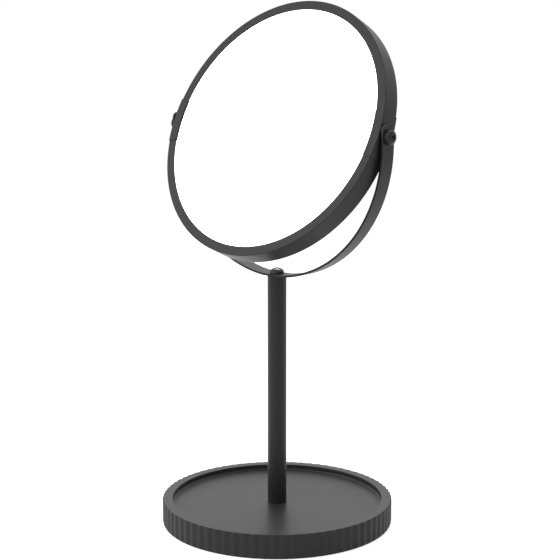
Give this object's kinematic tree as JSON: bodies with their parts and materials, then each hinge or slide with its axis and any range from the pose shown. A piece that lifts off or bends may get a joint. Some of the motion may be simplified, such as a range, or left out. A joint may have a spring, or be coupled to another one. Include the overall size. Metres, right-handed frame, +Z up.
{
  "type": "table mirror",
  "caption": "Round tilting table mirror held by a flat steel bow on a slim post, standing on a fluted round base with a shallow tray in its top.",
  "frame": {"origin": "centre of the base's underside, on the surface that the mirror stands on", "axes": "+Z up along the post, +X along the mirror's pivot axis to the mirror's right as seen from in front, -Y towards the person looking in"},
  "size_m": [0.1834, 0.1492, 0.3339],
  "materials": {
    "painted_steel": "fine matt powder coat, dark grey",
    "base_shell": "matt dark grey, faintly grained",
    "black_screw": "satin black",
    "bare_steel": "zinc plated",
    "washer_plastic": "black nylon",
    "mirror_glass": "silvered glass",
    "packing_foam": "closed-cell foam",
    "pad_foam": "black non-slip foam"
  },
  "bodies": {
    "stand": {"base_tray": "base_shell", "base_weight": "bare_steel", "base_cover": "base_shell", "base_pad": "pad_foam", "base_bolt": "bare_steel", "base_washer": "bare_steel", "base_spring_washer": "bare_steel", "post_tube": "painted_steel", "post_foot_insert": "bare_steel", "post_top_insert": "bare_steel", "yoke": "painted_steel", "yoke_screw": "black_screw"},
    "mirror_head": {"frame_upper_half": "painted_steel", "frame_lower_half": "painted_steel", "pivot_clip_left": "painted_steel", "pivot_clip_right": "painted_steel", "pivot_nut_left": "bare_steel", "pivot_nut_right": "bare_steel", "pivot_screw_left": "black_screw", "pivot_screw_right": "black_screw", "inner_washer_left": "washer_plastic", "inner_washer_right": "washer_plastic", "outer_washer_left": "washer_plastic", "outer_washer_right": "washer_plastic", "front_mirror": "mirror_glass", "rear_mirror": "mirror_glass", "packing_ring": "packing_foam"}
  },
  "joints": [
    {"name": "mirror_tilt", "type": "hinge", "parent": "stand", "child": "mirror_head", "pos_m": [0, 0, 0.25445], "axis": [1, 0, 0], "continuous": true}
  ]
}
